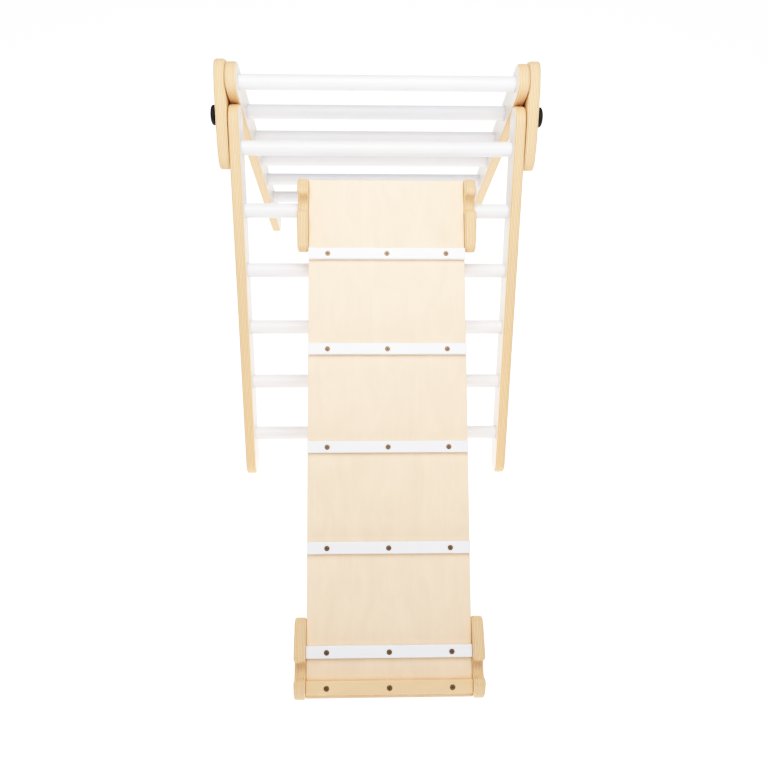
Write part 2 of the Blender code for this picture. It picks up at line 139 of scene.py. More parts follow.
APEX = Vector((0.0, *centre_of("top_rung").yz))
FRONT = make_frame(APEX, APEX - Vector((0.0, *centre_of("front_rung_6").yz)))
REAR = make_frame(APEX, APEX - Vector((0.0, *centre_of("rear_rung_6").yz)))
SLOPE = (centre_of("batten_1") - centre_of("batten_5")).normalized()   # up the ramp
HANG = centre_of("front_rung_2")
RAMP_NORMAL = Vector((1.0, 0.0, 0.0)).cross(SLOPE)
RAMP_X = centre_of("ramp_board").x
RAMP = make_frame(Vector((RAMP_X, HANG.y, HANG.z)), RAMP_NORMAL)       # y up the slope, z off the board
INNER_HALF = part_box("front_rail_right")[0].x
LINK_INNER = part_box("link_plate_right")[0].x
LINK_OUTER = LINK_INNER + PLY
RAMP_ANGLE = math.atan2(SLOPE.z, SLOPE.y)
REAR_LEG = centre_of("rear_rung_6") - APEX
LEG_ANGLE = math.atan2(-REAR_LEG.z, REAR_LEG.y)
FOOT_CENTRE = LEG_LENGTH - RAIL_HALF
LIP_OUT = NOTCH_RADIUS + LIP_RADIUS
LIP_UP = HOOK_HALF - LIP_RADIUS
TOE_OUT = LIP_OUT - (TOE_RADIUS - LIP_RADIUS - LIP_UP * math.cos(RAMP_ANGLE)) / math.sin(RAMP_ANGLE)
TOE_LENGTH = TOE_OUT + TOE_RADIUS


# ---------------------------------------------------------------- node materials

class Shade:
    """A material's node tree, with short ways to add the nodes that these materials use."""

    def __init__(self, name):
        self.material = bpy.data.materials.new(name)
        self.material.use_nodes = True
        self.tree = self.material.node_tree
        self.shader = self.tree.nodes["Principled BSDF"]

    def put(self, socket, value):
        if isinstance(value, bpy.types.NodeSocket):
            self.tree.links.new(value, socket)
        elif isinstance(value, tuple) and len(value) == 3 and socket.type == "RGBA":
            socket.default_value = (*value, 1.0)
        else:
            socket.default_value = value

    def node(self, kind, inputs=(), **settings):
        node = self.tree.nodes.new(kind)
        for key, value in settings.items():
            setattr(node, key, value)
        for key, value in dict(inputs).items():
            self.put(node.inputs[key], value)
        return node

    def math(self, operation, a, b=0.0, c=0.0):
        return self.node("ShaderNodeMath", {0: a, 1: b, 2: c}, operation=operation).outputs[0]

    def graded(self, share, low, change):
        """Low, plus change times share."""
        return self.math("MULTIPLY_ADD", share, change, low)

    def scaled(self, vector, scale):
        """The vector times one number, or times one number for each axis."""
        factors = scale if isinstance(scale, tuple) else (scale, scale, scale)
        return self.node("ShaderNodeVectorMath", {0: vector, 1: factors}, operation="MULTIPLY").outputs[0]

    def dimmed(self, colour, level):
        return self.node("ShaderNodeVectorMath", {0: colour, 3: level}, operation="SCALE").outputs[0]

    def noise(self, vector, detail=3.0, roughness=0.5, distortion=0.0):
        inputs = {"Vector": vector, "Scale": 1.0, "Detail": detail, "Roughness": roughness,
                  "Distortion": distortion}
        return self.node("ShaderNodeTexNoise", inputs).outputs["Fac"]

    def mapped(self, value, low, high, to_low=0.0, to_high=1.0, smooth=True):
        kind = "SMOOTHSTEP" if smooth else "LINEAR"
        inputs = {"Value": value, "From Min": low, "From Max": high, "To Min": to_low, "To Max": to_high}
        return self.node("ShaderNodeMapRange", inputs, interpolation_type=kind).outputs["Result"]

    def mixed(self, share, first, second):
        node = self.node("ShaderNodeMix", data_type="RGBA")
        self.put(node.inputs[0], share)
        self.put(node.inputs[6], first)
        self.put(node.inputs[7], second)
        return node.outputs[2]

    def coordinates(self):
        return self.node("ShaderNodeTexCoord")

    def split(self, vector):
        return self.node("ShaderNodeSeparateXYZ", {0: vector}).outputs

    def joined(self, x, y, z):
        return self.node("ShaderNodeCombineXYZ", {0: x, 1: y, 2: z}).outputs[0]

    def bump(self, height, distance, strength):
        inputs = {"Height": height, "Distance": distance, "Strength": strength}
        return self.node("ShaderNodeBump", inputs).outputs[0]

    def done(self, **inputs):
        for key, value in inputs.items():
            self.put(self.shader.inputs[key.replace("_", " ")], value)
        return self.material


LONG_GRAIN = (0.83, 0.61, 0.41)
END_GRAIN = (0.70, 0.47, 0.28)
WHITE_COAT = (0.80, 0.745, 0.69)
RAIL_FACE = (0.84, 0.63, 0.42)
PLATE_FACE = (0.86, 0.66, 0.45)
BOARD_FACE = (0.89, 0.69, 0.515)
BAR_FACE = (0.82, 0.59, 0.38)


def veneer_figure(s, across, along, through):
    """Birch veneer's soft figure round 1.0: clouds, long grain and fine dark dashes."""

    def stretched(across_scale, along_scale):
        return s.joined(s.math("MULTIPLY", across, across_scale),
                        s.math("MULTIPLY", along, along_scale), through)

    cloud = s.noise(stretched(22.0, 9.0), detail=3.0, distortion=1.2)
    grain = s.noise(stretched(150.0, 9.0), detail=5.0, roughness=0.55, distortion=0.6)
    dashes = s.mapped(s.noise(stretched(1500.0, 90.0), detail=2.0), 0.62, 0.74)
    tone = s.graded(s.mapped(cloud, 0.3, 0.7, smooth=False), 0.965, 0.07)
    tone = s.math("MULTIPLY", tone, s.graded(s.mapped(grain, 0.25, 0.75, smooth=False), 0.982, 0.035))
    tone = s.math("MULTIPLY", tone, s.graded(dashes, 1.0, -0.045))
    return tone, grain, dashes


def plywood(name, thickness, axes, veneer, face, coat=None, roughness=0.5):
    """Plywood as a solid: its layers lie across the first axis, and its face grain runs along the second.
    A coat colours only the outermost skin, so the rounded edges stay bare."""
    s = Shade(name)
    where = s.coordinates()
    surface = where.outputs["Object"]
    place, facing = s.split(surface), s.split(where.outputs["Normal"])
    through, along = place["XYZ".index(axes[0])], place["XYZ".index(axes[1])]
    across = place["XYZ".index(({"X", "Y", "Z"} - set(axes)).pop())]
    tone, grain, dashes = veneer_figure(s, across, along, through)

    # The layers, which wander a little. Every second one is turned, and each has its own shade.
    wander = s.noise(s.scaled(surface, 14.0), detail=2.0)
    depth = s.math("MULTIPLY_ADD", s.math("SUBTRACT", wander, 0.5), 0.00016, through)
    layer = s.math("DIVIDE", s.math("ADD", depth, thickness / 2), veneer)
    number, within = s.math("FLOOR", layer), s.math("FRACT", layer)
    along_face = s.math("SUBTRACT", 1.0, s.math("FLOORED_MODULO", number, 2.0))
    shade = s.node("ShaderNodeTexWhiteNoise", {"W": number}, noise_dimensions="1D").outputs["Value"]

    # A layer shows end grain where its own grain runs into the surface
    end_on = s.mapped(s.math("ABSOLUTE", facing["XYZ".index(axes[1])]), 0.25, 0.8)
    long_side = s.math("ABSOLUTE", s.math("SUBTRACT", along_face, end_on))
    cut_across = s.math("SUBTRACT", 1.0, long_side)
    colour = s.mixed(s.math("SUBTRACT", 1.0, cut_across), END_GRAIN, LONG_GRAIN)

    # Pores, fibres and the dark glue lines between the layers
    pores = s.noise(s.scaled(surface, 2600.0), detail=1.0)
    fibre = s.noise(s.joined(s.math("MULTIPLY", through, 2400.0), s.math("MULTIPLY", across, 300.0),
                             s.math("MULTIPLY", along, 40.0)), detail=3.0)
    speck = s.graded(s.mapped(pores, 0.3, 0.7), 0.95, 0.10)
    streak = s.graded(s.mapped(fibre, 0.25, 0.75), 0.965, 0.07)
    glue = s.math("MAXIMUM", s.mapped(within, 0.09, 0.03), s.mapped(within, 0.94, 0.99))
    level = s.math("MULTIPLY", speck, streak)
    level = s.math("MULTIPLY", level, s.graded(shade, 0.95, 0.10))
    level = s.math("MULTIPLY", level, s.graded(glue, 1.0, -0.16))

    # The outermost layer is the face
    skin = s.math("SUBTRACT", thickness / 2, s.math("ABSOLUTE", depth))       # depth under the nearer face
    on_face = s.mapped(skin, veneer * 0.97, veneer * 0.9)
    on_edge = s.math("SUBTRACT", 1.0, on_face)
    result = s.mixed(on_face, s.dimmed(colour, level), s.dimmed(face, tone))
    rough = s.graded(on_edge, roughness, 0.12)
    height = s.math("MULTIPLY_ADD", grain, 0.6, s.math("MULTIPLY", dashes, -0.8))
    if coat:
        coated = s.mapped(skin, COAT_DEPTH + 0.00012, COAT_DEPTH)
        orange_peel = s.noise(s.scaled(surface, 900.0), detail=2.0)
        result = s.mixed(coated, result, s.dimmed(coat, s.graded(tone, 0.65, 0.35)))
        rough = s.math("MULTIPLY_ADD", coated, -0.14, rough)
        height = s.math("MULTIPLY_ADD", s.math("MULTIPLY", orange_peel, coated), 0.5, height)
    ridges = s.math("MULTIPLY", on_edge, s.math("MULTIPLY_ADD", glue, -0.8, cut_across))
    height = s.math("MULTIPLY_ADD", ridges, 1.2, height)
    return s.done(Base_Color=result, Roughness=rough, Normal=s.bump(height, 0.00006, 0.7))


def lacquer(name, colour, roughness, along):
    """Satin lacquer over turned or planed wood, with the grain just showing through along one axis."""
    s = Shade(name)
    where = s.coordinates().outputs["Object"]
    grain_scale = tuple(18.0 if axis == along else 700.0 for axis in "XYZ")
    grain = s.noise(s.scaled(where, grain_scale), detail=3.0)
    orange_peel = s.noise(s.scaled(where, 420.0), detail=2.0)
    smudge = s.mapped(s.noise(s.scaled(where, 16.0), detail=3.0), 0.3, 0.7)
    grain_tone = s.graded(s.mapped(grain, 0.3, 0.7), 0.99, 0.016)
    tone = s.math("MULTIPLY", s.graded(smudge, 0.985, 0.022), grain_tone)
    height = s.math("MULTIPLY_ADD", grain, 0.5, orange_peel)
    s.shader.inputs["Coat Weight"].default_value = 0.12
    s.shader.inputs["Coat Roughness"].default_value = 0.25
    return s.done(Base_Color=s.dimmed(colour, tone), Roughness=s.graded(smudge, roughness - 0.04, 0.08),
                  Normal=s.bump(height, 0.00004, 0.6))


def moulded_plastic(name, colour):
    s = Shade(name)
    where = s.coordinates().outputs["Object"]
    fine = s.noise(s.scaled(where, 1900.0), detail=2.0)
    rubbed = s.noise(s.scaled(where, 120.0), detail=4.0)
    return s.done(Base_Color=s.dimmed(colour, s.mapped(rubbed, 0.3, 0.7, 0.85, 1.25)),
                  Roughness=s.mapped(rubbed, 0.3, 0.7, 0.36, 0.5), Normal=s.bump(fine, 0.00005, 0.8))


def metal(name, colour, roughness, dull):
    """Metal with fine streaks along z and dull stains."""
    s = Shade(name)
    where = s.coordinates().outputs["Object"]
    turned = s.noise(s.scaled(where, (1600.0, 1600.0, 90.0)), detail=2.0)
    stain = s.noise(s.scaled(where, 700.0), detail=4.0)
    return s.done(Base_Color=s.mixed(s.mapped(stain, 0.45, 0.7), colour, dull), Metallic=1.0,
                  Roughness=s.mapped(stain, 0.3, 0.7, roughness, roughness + 0.18),
                  Normal=s.bump(turned, 0.00003, 0.5))


RAIL_PLY = plywood("white_faced_birch_plywood", PLY, "XZ", VENEER, RAIL_FACE, coat=WHITE_COAT)
BARE_PLY = plywood("birch_plywood", PLY, "XZ", VENEER, PLATE_FACE)
HOOK_PLY = plywood("hook_birch_plywood", PLY, "XY", VENEER, PLATE_FACE)
BOARD_PLY = plywood("board_birch_plywood", BOARD_THICK, "ZY", BOARD_VENEER, BOARD_FACE, roughness=0.46)
BAR_WOOD = plywood("bar_birch", 0.10, "ZX", 0.2, BAR_FACE)     # one thick layer, so that no glue line shows
WHITE = lacquer("white_lacquer_rungs", (0.835, 0.835, 0.86), 0.36, "X")
WHITE_BATTEN = lacquer("white_lacquer_battens", (0.86, 0.865, 0.895), 0.34, "X")
BLACK = moulded_plastic("black_moulded_plastic", (0.016, 0.016, 0.018))
STEEL = metal("zinc_plated_steel", (0.62, 0.62, 0.63), 0.26, (0.45, 0.45, 0.46))
BRONZE = metal("bronzed_screw_steel", (0.30, 0.215, 0.15), 0.42, (0.19, 0.145, 0.11))
BRASS = metal("brass", (0.72, 0.53, 0.25), 0.28, (0.45, 0.32, 0.15))


# ---------------------------------------------------------------- mesh tools

def arc(centre, radius, start, end, steps):
    """Points of an arc with both its ends, its angles in degrees."""
    angles = [math.radians(start + (end - start) * i / steps) for i in range(steps + 1)]
    return [(centre[0] + radius * math.cos(a), centre[1] + radius * math.sin(a)) for a in angles]


def superellipse(half_y, half_z, power, steps):
    """Points of a superellipse, from +y towards +z."""
    points = []
    for i in range(steps):
        angle = 2 * math.pi * i / steps
        c, s = math.cos(angle), math.sin(angle)
        points.append((half_y * math.copysign(abs(c) ** (2 / power), c),
                       half_z * math.copysign(abs(s) ** (2 / power), s)))
    return points


def tidy_outline(outline):
    """Drops points that repeat, and turns the outline counter-clockwise."""
    points = [p for i, p in enumerate(outline) if math.dist(p, outline[i - 1]) > 1e-6]
    area = sum(a[0] * b[1] - b[0] * a[1] for a, b in zip(points, points[1:] + points[:1]))
    return points if area > 0 else points[::-1]


def inset(outline, distance):
    """The outline moved inwards, with mitred corners."""
    moved = []
    count = len(outline)
    for i, point in enumerate(outline):
        before, after = Vector(outline[i - 1]), Vector(outline[(i + 1) % count])
        here = Vector(point)
        first, second = (here - before).normalized(), (after - here).normalized()
        normals = [Vector((-d.y, d.x)) for d in (first, second)]
        middle = (normals[0] + normals[1]).normalized()
        moved.append(tuple(here + middle * distance / max(0.3, middle.dot(normals[0]))))
    return moved


def finished(work, name):
    """The mesh of a bmesh that isn't needed any more."""
    mesh = bpy.data.meshes.new(name)
    work.to_mesh(mesh)
    work.free()
    return mesh


def rounded_plate(name, outline, thickness, radius, steps=5):
    """A flat outline in y, z made into a plate with its middle plane at x = 0 and its edges rounded."""
    outline = tidy_outline(outline)
    half = thickness / 2
    turns = [math.pi / 2 * i / steps for i in range(steps + 1)]
    rings = [(-(half - radius + radius * math.sin(a)), radius * (1 - math.cos(a))) for a in reversed(turns)]
    rings += [(-x, d) for x, d in reversed(rings)]
    work = bmesh.new()
    made = []
    for x, distance in rings:
        edge = inset(outline, distance) if distance else outline
        made.append([work.verts.new((x, y, z)) for y, z in edge])
    for low, high in zip(made, made[1:]):
        for i in range(len(low)):
            j = (i + 1) % len(low)
            work.faces.new((low[i], low[j], high[j], high[i]))
    work.faces.new(made[0][::-1])
    work.faces.new(made[-1])
    bmesh.ops.recalc_face_normals(work, faces=work.faces)
    return finished(work, name)


def lathe(name, profile, steps, ripple=None):
    """Turns a (radius, height) profile about z. Ripple(angle, radius, height) may change a point's radius."""
    work = bmesh.new()
    rings = []
    for radius, height in profile:
        if radius < 1e-7:
            rings.append([work.verts.new((0.0, 0.0, height))])
            continue
        ring = []
        for i in range(steps):
            angle = 2 * math.pi * i / steps
            r = ripple(angle, radius, height) if ripple else radius
            ring.append(work.verts.new((r * math.cos(angle), r * math.sin(angle), height)))
        rings.append(ring)
    for low, high in zip(rings, rings[1:]):
        for i in range(steps):
            j = (i + 1) % steps
            corners = [low[i % len(low)], low[j % len(low)], high[j % len(high)], high[i % len(high)]]
            corners = [c for k, c in enumerate(corners) if c is not corners[k - 1]]
            if len(corners) > 2:
                work.faces.new(corners)
    bmesh.ops.recalc_face_normals(work, faces=work.faces)
    return finished(work, name)


def lathe_closed(name, profile, steps):
    """Turns a closed profile that doesn't touch the axis."""
    turns = [2 * math.pi * i / steps for i in range(steps)]
    work = bmesh.new()
    rings = [[work.verts.new((r * math.cos(a), r * math.sin(a), z)) for a in turns] for r, z in profile]
    for low, high in zip(rings, rings[1:] + rings[:1]):
        for i in range(steps):
            j = (i + 1) % steps
            work.faces.new((low[i], low[j], high[j], high[i]))
    bmesh.ops.recalc_face_normals(work, faces=work.faces)
    return finished(work, name)


def bar(radius, low, high, steps, ease=0.0):
    """A plain round bar along z, the edges of its ends rounded by ease."""
    if not ease:
        return lathe("bar", [(0.0, low), (radius, low), (radius, high), (0.0, high)], steps)
    turns = [math.pi / 2 * i / 4 for i in range(5)]
    start = [(radius - ease + ease * math.sin(a), low + ease - ease * math.cos(a)) for a in turns]
    end = [(r, low + high - h) for r, h in reversed(start)]
    return lathe("bar", [(0.0, low)] + start + end + [(0.0, high)], steps)


ALONG_X = Matrix.Rotation(math.pi / 2, 4, "Y")      # turns a mesh's z to x


def linked(name, data):
    """A new object of the scene."""
    obj = bpy.data.objects.new(name, data)
    bpy.context.scene.collection.objects.link(obj)
    return obj


def merged(meshes):
    """One mesh of several (mesh, matrix) pairs."""
    work = bmesh.new()
    for mesh, matrix in meshes:
        copy = mesh.copy()
        copy.transform(matrix)
        work.from_mesh(copy)
        bpy.data.meshes.remove(copy)
    return finished(work, "merged")


def settled(mesh, cutters=(), sharp=40):
    """The mesh with its (mesh, matrix) cutters cut out and its normals weighted to the flat faces."""
    holder = linked("holder", mesh)
    helpers = [holder]
    if cutters:
        tool = linked("tool", merged(cutters))
        helpers.append(tool)
        boolean = holder.modifiers.new("cut", "BOOLEAN")
        boolean.operation = "DIFFERENCE"
        boolean.object = tool
        boolean.use_self = True
    weighted = holder.modifiers.new("normals", "WEIGHTED_NORMAL")
    weighted.keep_sharp = True
    mesh.shade_smooth()
    mesh.set_sharp_from_angle(angle=math.radians(sharp))
    evaluated = holder.evaluated_get(bpy.context.evaluated_depsgraph_get())
    result = bpy.data.meshes.new_from_object(evaluated)
    for obj in helpers:
        old = obj.data
        bpy.data.objects.remove(obj)
        bpy.data.meshes.remove(old)
    return result


def piece(node, mesh, material, place):
    """A detailed piece that stands for its CAD node and rides on the same body."""
    name = node + "_look"
    mesh.name = name
    mesh.materials.clear()
    mesh.materials.append(material)
    obj = linked(name, mesh)
    obj.matrix_world = place
    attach(obj, BODY_OF[node])
    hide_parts(node)


def shift(x=0.0, y=0.0, z=0.0):
    return Matrix.Translation((x, y, z))


# ---------------------------------------------------------------- ladders

def distance_down(ladder, node):
    """How far down a ladder's line a rung lies from the top rung."""
    return -(ladder.inverted() @ Vector((0.0, *centre_of(node).yz))).z


def rail_outline(top, foot_facing):
    """A rail's outline from the points of its top end, its round foot flat where it faces the floor."""
    foot = (0.0, -FOOT_CENTRE)
    points = top + arc(foot, RAIL_HALF, 180, foot_facing - FOOT_FLAT, 24)
    return points + arc(foot, RAIL_HALF, foot_facing + FOOT_FLAT, 360, 24)


def socket_cutter(depth):
    """A rung's blind socket with an eased mouth: its mouth at z = 0 and its floor at z = -depth."""
    r = RUNG_RADIUS + FIT
    mouth = r + SOCKET_EASE
    profile = [(0.0, OVERCUT), (mouth + OVERCUT, OVERCUT), (mouth, 0.0), (r, -SOCKET_EASE), (r, -depth),
               (0.0, -depth)]
    return lathe("socket", profile, 48)


def build_rail(node, side, ladder, top, foot_facing, rungs):
    mesh = rounded_plate(node, rail_outline(top, foot_facing), PLY, EDGE_ROUND)
    inner = -side * PLY / 2
    turn = Matrix.Rotation(-side * math.pi / 2, 4, "Y")            # z to the rail's inner side
    cutters = [(socket_cutter(SOCKET_DEPTH + FIT), shift(inner, 0.0, -d) @ turn) for d in rungs]
    mesh = settled(mesh, cutters)
    piece(node, mesh, RAIL_PLY, ladder @ shift(side * (INNER_HALF + PLY / 2)))


def build_rung(node, ladder):
    half = INNER_HALF + SOCKET_DEPTH
    mesh = settled(bar(RUNG_RADIUS, -half, half, 64, RUNG_EASE))
    mesh.transform(ALONG_X)
    piece(node, mesh, WHITE, ladder @ shift(z=-distance_down(ladder, node)))


def build_ladders():
    lean = math.degrees(LEG_ANGLE)
    front = [f"front_rung_{i}" for i in range(1, 7)]
    rear = ["top_rung"] + [f"rear_rung_{i}" for i in range(1, 7)]
    front_at = [distance_down(FRONT, n) for n in front]
    rear_at = [distance_down(REAR, n) for n in rear]
    front_end = arc((0.0, -FRONT_TOP), RAIL_HALF, 0, 180, 40)
    rear_end = superellipse(RAIL_HALF, REAR_TOP, REAR_TOP_POWER, 96)[:49]
    for side, word in ((-1, "left"), (1, "right")):
        build_rail(f"front_rail_{word}", side, FRONT, front_end, 360 - lean, front_at)
        build_rail(f"rear_rail_{word}", side, REAR, rear_end, 180 + lean, rear_at)
    for node in front:
        build_rung(node, FRONT)
    for node in rear:
        build_rung(node, REAR)


# ---------------------------------------------------------------- hinge

CLAMP_ALONG = distance_down(FRONT, "front_rung_1") / 2


def outward(side, x, along):
    """A frame whose z points outwards from this x, on the front ladder's line."""
    return FRONT @ shift(side * x, 0.0, -along) @ Matrix.Rotation(side * math.pi / 2, 4, "Y")


def build_link_plate(word, side):
    node = f"link_plate_{word}"
    outline = superellipse(LINK_HALF_WIDTH, LINK_HALF_LENGTH, LINK_POWER, 160)
    mesh = rounded_plate(node, outline, PLY, EDGE_ROUND)
    turn = Matrix.Rotation(side * math.pi / 2, 4, "Y")
    half = PLY / 2
    outer, inner = half + OVERCUT, -half - OVERCUT
    head, shank, insert = HEAD_RADIUS + FIT, BOLT_RADIUS + FIT, INSERT_RADIUS + FIT
    seat = half - HEAD_RECESS
    bore = lathe("bore", [(0.0, outer), (head + 0.0013, outer), (head + 0.0003, half), (head, half - 0.0004),
                          (head, seat), (shank, seat), (shank, inner), (0.0, inner)], 48)
    step = half - (PLY - INSERT_LENGTH - FIT)
    middle = lathe("middle", [(0.0, outer), (shank, outer), (shank, step), (insert, step), (insert, inner),
                              (0.0, inner)], 48)
    cutters = [(bore, shift(z=-CLAMP_ALONG) @ turn), (bore, shift(z=CLAMP_ALONG) @ turn), (middle, turn)]
    mesh = settled(mesh, cutters)
    piece(node, mesh, BARE_PLY, FRONT @ shift(side * (LINK_INNER + half), 0.0, -CLAMP_ALONG))


def build_rung_bolt(node, side, along):
    """A low cap bolt with a hexagon socket."""
    top = LINK_OUTER - HEAD_RECESS + HEAD_HEIGHT
    under = top - HEAD_HEIGHT + FIT
    tip = INNER_HALF + SOCKET_DEPTH - BOLT_IN_RUNG
    profile = [(0.0, top - 0.0001), (HEAD_RADIUS * 0.55, top - 0.00005), (HEAD_RADIUS - 0.0011, top - 0.0002)]
    profile += arc((HEAD_RADIUS - 0.0009, top - 0.0011), 0.0009, 80, 0, 5)
    profile += [(HEAD_RADIUS, under), (BOLT_RADIUS, under), (BOLT_RADIUS, tip + BOLT_TIP_EASE),
                (BOLT_RADIUS - BOLT_TIP_EASE, tip), (0.0, tip)]
    mesh = lathe(node, profile, 48)
    floor = top - HEXAGON_DEPTH
    socket = lathe("hexagon", [(0.0, top + OVERCUT), (HEXAGON_RADIUS, top + OVERCUT), (HEXAGON_RADIUS, floor),
                               (0.0, floor - 0.0008)], 6)
    mesh = settled(mesh, [(socket, Matrix.Identity(4))], sharp=32)
    piece(node, mesh, STEEL, outward(side, 0.0, along))


def knob_ripple(angle, radius, height):
    """Fine grip ribs round the rim, which fade out up the dome."""
    rim = KNOB_HEIGHT * 0.42
    share = max(0.0, 1 - ((height - rim) / (KNOB_HEIGHT * 0.26)) ** 2)
    if radius < KNOB_RADIUS * 0.8:
        share = 0.0
    return radius - RIB_DEPTH * share * (0.5 - 0.5 * math.cos(RIB_COUNT * angle))


def build_knob(node, rim, top, socket, place):
    """The knob: a grooved dome on a straight side, and a collar that stands on the link plate."""
    shoulder = rim + KNOB_WALL
    dome = [(0.0, top)]
    for i in range(1, 25):
        angle = math.radians(90 * i / 24)
        radius = KNOB_RADIUS * math.sin(angle) ** 0.8
        height = shoulder + (KNOB_HEIGHT - COLLAR_HEIGHT - KNOB_WALL) * math.cos(angle) ** 0.9
        groove = GROOVE_DEPTH * math.exp(-((radius - GROOVE_RADIUS) / GROOVE_WIDTH) ** 2)
        dome.append((radius, height - groove))
    wall = [(KNOB_RADIUS, shoulder - 0.0005 * i) for i in range(1, 5)]
    under = arc((KNOB_RADIUS - 0.0015, rim + 0.0015), 0.0015, 0, -90, 5)
    hole = BOLT_RADIUS + FIT
    stem = [(COLLAR_RADIUS + 0.0006, rim), (COLLAR_RADIUS, rim - 0.0006), (COLLAR_RADIUS, FIT + 0.0004),
            (COLLAR_RADIUS - 0.0004, FIT), (hole, FIT), (hole, socket), (0.0, socket)]
    mesh = lathe("knob", dome + wall + under + stem, 240, knob_ripple)
    piece(node, settled(mesh, sharp=50), BLACK, place)


def build_insert(node, low, high, place):
    """The threaded insert in the link plate, with ridges that hold it in the wood."""
    bore = BOLT_RADIUS + FIT
    valley = INSERT_RADIUS - 0.0006
    ridges = []
    for i in range(INSERT_RIDGES):
        z = high - 0.0012 - (high - low - 0.0024) * i / (INSERT_RIDGES - 1)
        ridges += [(valley, z + 0.0006), (INSERT_RADIUS, z + 0.0002), (INSERT_RADIUS, z - 0.0002),
                   (valley, z - 0.0006)]
    foot = [(INSERT_RADIUS, low + 0.0003), (INSERT_RADIUS, low), (bore, low)]
    mesh = lathe_closed("insert", [(bore, high), (INSERT_RADIUS - 0.0003, high)] + ridges + foot, 40)
    piece(node, settled(mesh, sharp=30), BRASS, place)


def build_clamp(word, side):
    """A clamp's knob, bolt and insert, placed by their height over the link plate's outer face."""
    place = outward(side, LINK_OUTER, CLAMP_ALONG)
    rim = FIT + COLLAR_HEIGHT
    socket = rim + BOLT_IN_KNOB
    build_knob(f"clamp_knob_{word}", rim, FIT + KNOB_HEIGHT, socket, place)
    tip = INNER_HALF + PLY + FIT - LINK_OUTER
    piece(f"clamp_bolt_{word}", threaded_rod(BOLT_RADIUS, tip, socket - FIT, BOLT_PITCH), STEEL, place)
    low = LINK_INNER + FIT - LINK_OUTER
    high = LINK_INNER + INSERT_LENGTH - LINK_OUTER
    build_insert(f"threaded_insert_{word}", low, high, place)


def threaded_rod(radius, low, high, pitch):
    """A rod with a rolled thread, its grooves inside the rod's radius."""
    profile = [(0.0, low), (radius - 0.0008, low), (radius - 0.0001, low + 0.0008)]
    z = low + 0.0012
    while z + pitch < high - 0.002:
        profile += [(radius, z), (radius, z + pitch * 0.2), (radius - 0.00055, z + pitch * 0.5),
                    (radius, z + pitch * 0.8)]
        z += pitch
    profile += [(radius, high), (0.0, high)]
    return settled(lathe("rod", profile, 32), sharp=25)


def build_hinge():
    first = distance_down(FRONT, "front_rung_1")
    for side, word in ((-1, "left"), (1, "right")):
        build_link_plate(word, side)
        build_rung_bolt(f"pivot_bolt_{word}", side, first)
        build_rung_bolt(f"link_bolt_{word}", side, 0.0)
        build_clamp(word, side)


# ---------------------------------------------------------------- ramp

def tangent_angle(first, first_radius, second, second_radius):
    """The direction, from either centre, in which one line touches both circles."""
    along, up = second[0] - first[0], second[1] - first[1]
    turn = math.acos((first_radius - second_radius) / math.hypot(along, up))
    return math.degrees(math.atan2(up, along) + turn)


def hook_half_outline():
    """The upper half of a hook plate from toe to heel, as (distance from the notch, height)."""
    toe, heel = (-TOE_OUT, 0.0), (HEEL_CENTRE, 0.0)
    outer_lip, inner_lip = (-LIP_OUT, LIP_UP), (LIP_OUT, LIP_UP)
    front = tangent_angle(toe, TOE_RADIUS, outer_lip, LIP_RADIUS)
    back = tangent_angle(inner_lip, LIP_RADIUS, heel, HEEL_RADIUS)
    seat = BOARD_MIDDLE + NOTCH_RADIUS - RUNG_RADIUS - FIT
    points = arc(toe, TOE_RADIUS, 180, front, 14)
    points += arc(outer_lip, LIP_RADIUS, front, 0, 16)
    points += arc((0.0, seat), NOTCH_RADIUS, 180, 360, 36)
    points += arc(inner_lip, LIP_RADIUS, 180, back, 16)
    return points + arc(heel, HEEL_RADIUS, back, 0, 14)


def build_hook(node, side, notch_u, facing):
    upper = hook_half_outline()
    lower = [(d, -h) for d, h in reversed(upper[1:-1])]
    outline = [(-facing * d, h) for d, h in upper + lower]
    mesh = settled(rounded_plate(node, outline, PLY, EDGE_ROUND))
    place = RAMP @ shift(side * (BOARD_HALF + FIT + PLY / 2), -notch_u, BOARD_MIDDLE)
    piece(node, mesh, HOOK_PLY, place)


def rounded_rectangle(half_y, half_z, radii):
    """Corner radii for (+y +z), (-y +z), (-y -z), (+y -z)."""
    points = []
    corners = ((1, 1), (-1, 1), (-1, -1), (1, -1))
    for k, ((sy, sz), r) in enumerate(zip(corners, radii)):
        points += arc((sy * (half_y - r), sz * (half_z - r)), r, 90 * k, 90 * k + 90, 6)
    return points


def on_ramp(node):
    """The middle of a CAD node, in the ramp's own frame."""
    return RAMP.inverted() @ centre_of(node)


def screw_places():
    """Every screw's (node, x, y) on the ramp, by the bar that it holds."""
    places = {}
    for node in NODES:
        if "_screw_" in node:
            local = on_ramp(node)
            places.setdefault(node.split("_screw_")[0], []).append((node, local.x, local.y))
    return places


SCREWS = screw_places()


def countersink(thick, top):
    """The hole for a screw, its mouth's plane at z = top."""
    head, shank = SCREW_HEAD_RADIUS + FIT, SCREW_RADIUS + FIT
    floor = top - thick - OVERCUT
    profile = [(0.0, top + OVERCUT), (head + 0.0002 + OVERCUT, top + OVERCUT), (head + 0.0002, top),
               (head, top - 0.0006), (shank, top - SCREW_HEAD_HEIGHT - FIT), (shank, floor), (0.0, floor)]
    return lathe("countersink", profile, 32)


def build_cross_bar(node, width, thick, radii, material):
    at = Vector((0.0, on_ramp(node).y, BOARD_MIDDLE + BOARD_THICK / 2 + FIT + thick / 2))
    mesh = rounded_plate(node, rounded_rectangle(width / 2, thick / 2, radii), 2 * BOARD_HALF, 0.0010, 4)
    cutters = [(countersink(thick, thick / 2), shift(x, y - at.y)) for _, x, y in SCREWS[node]]
    mesh = settled(mesh, cutters, sharp=35)
    piece(node, mesh, material, RAMP @ Matrix.Translation(at))


